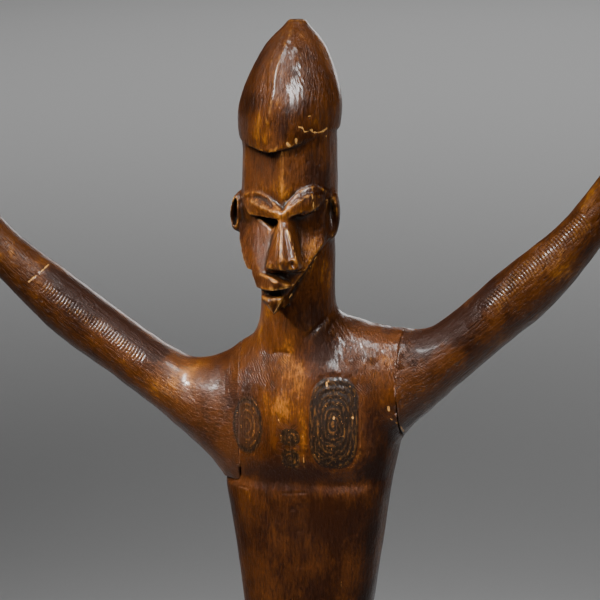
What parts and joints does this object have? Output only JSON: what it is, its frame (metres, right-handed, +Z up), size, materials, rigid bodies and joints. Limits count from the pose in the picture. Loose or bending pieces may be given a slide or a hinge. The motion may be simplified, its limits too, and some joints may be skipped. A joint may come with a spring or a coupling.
{
  "type": "tribal figure",
  "caption": "Carved and waxed wooden figure with both arms raised, a tall pointed headdress and a plain mask-like face, standing on a low oval base.",
  "frame": {"origin": "centre of the flat underside of the oval base", "axes": "+Z up through the headdress, the figure faces -Y, +X to a viewer's right when the face is looked at"},
  "size_m": [0.3927, 0.1114, 0.617],
  "materials": {
    "trunk_wood": "dark brown stain under worn wax, glossy on high places, with darker knots and grime in the cuts",
    "arm_wood": "dark brown stain under worn wax, grain along the arm, fine cross nicks from the rasp"
  },
  "bodies": {
    "root": {"carved_figure": "trunk_wood", "right_arm": "arm_wood", "left_arm": "arm_wood"}
  },
  "joints": []
}
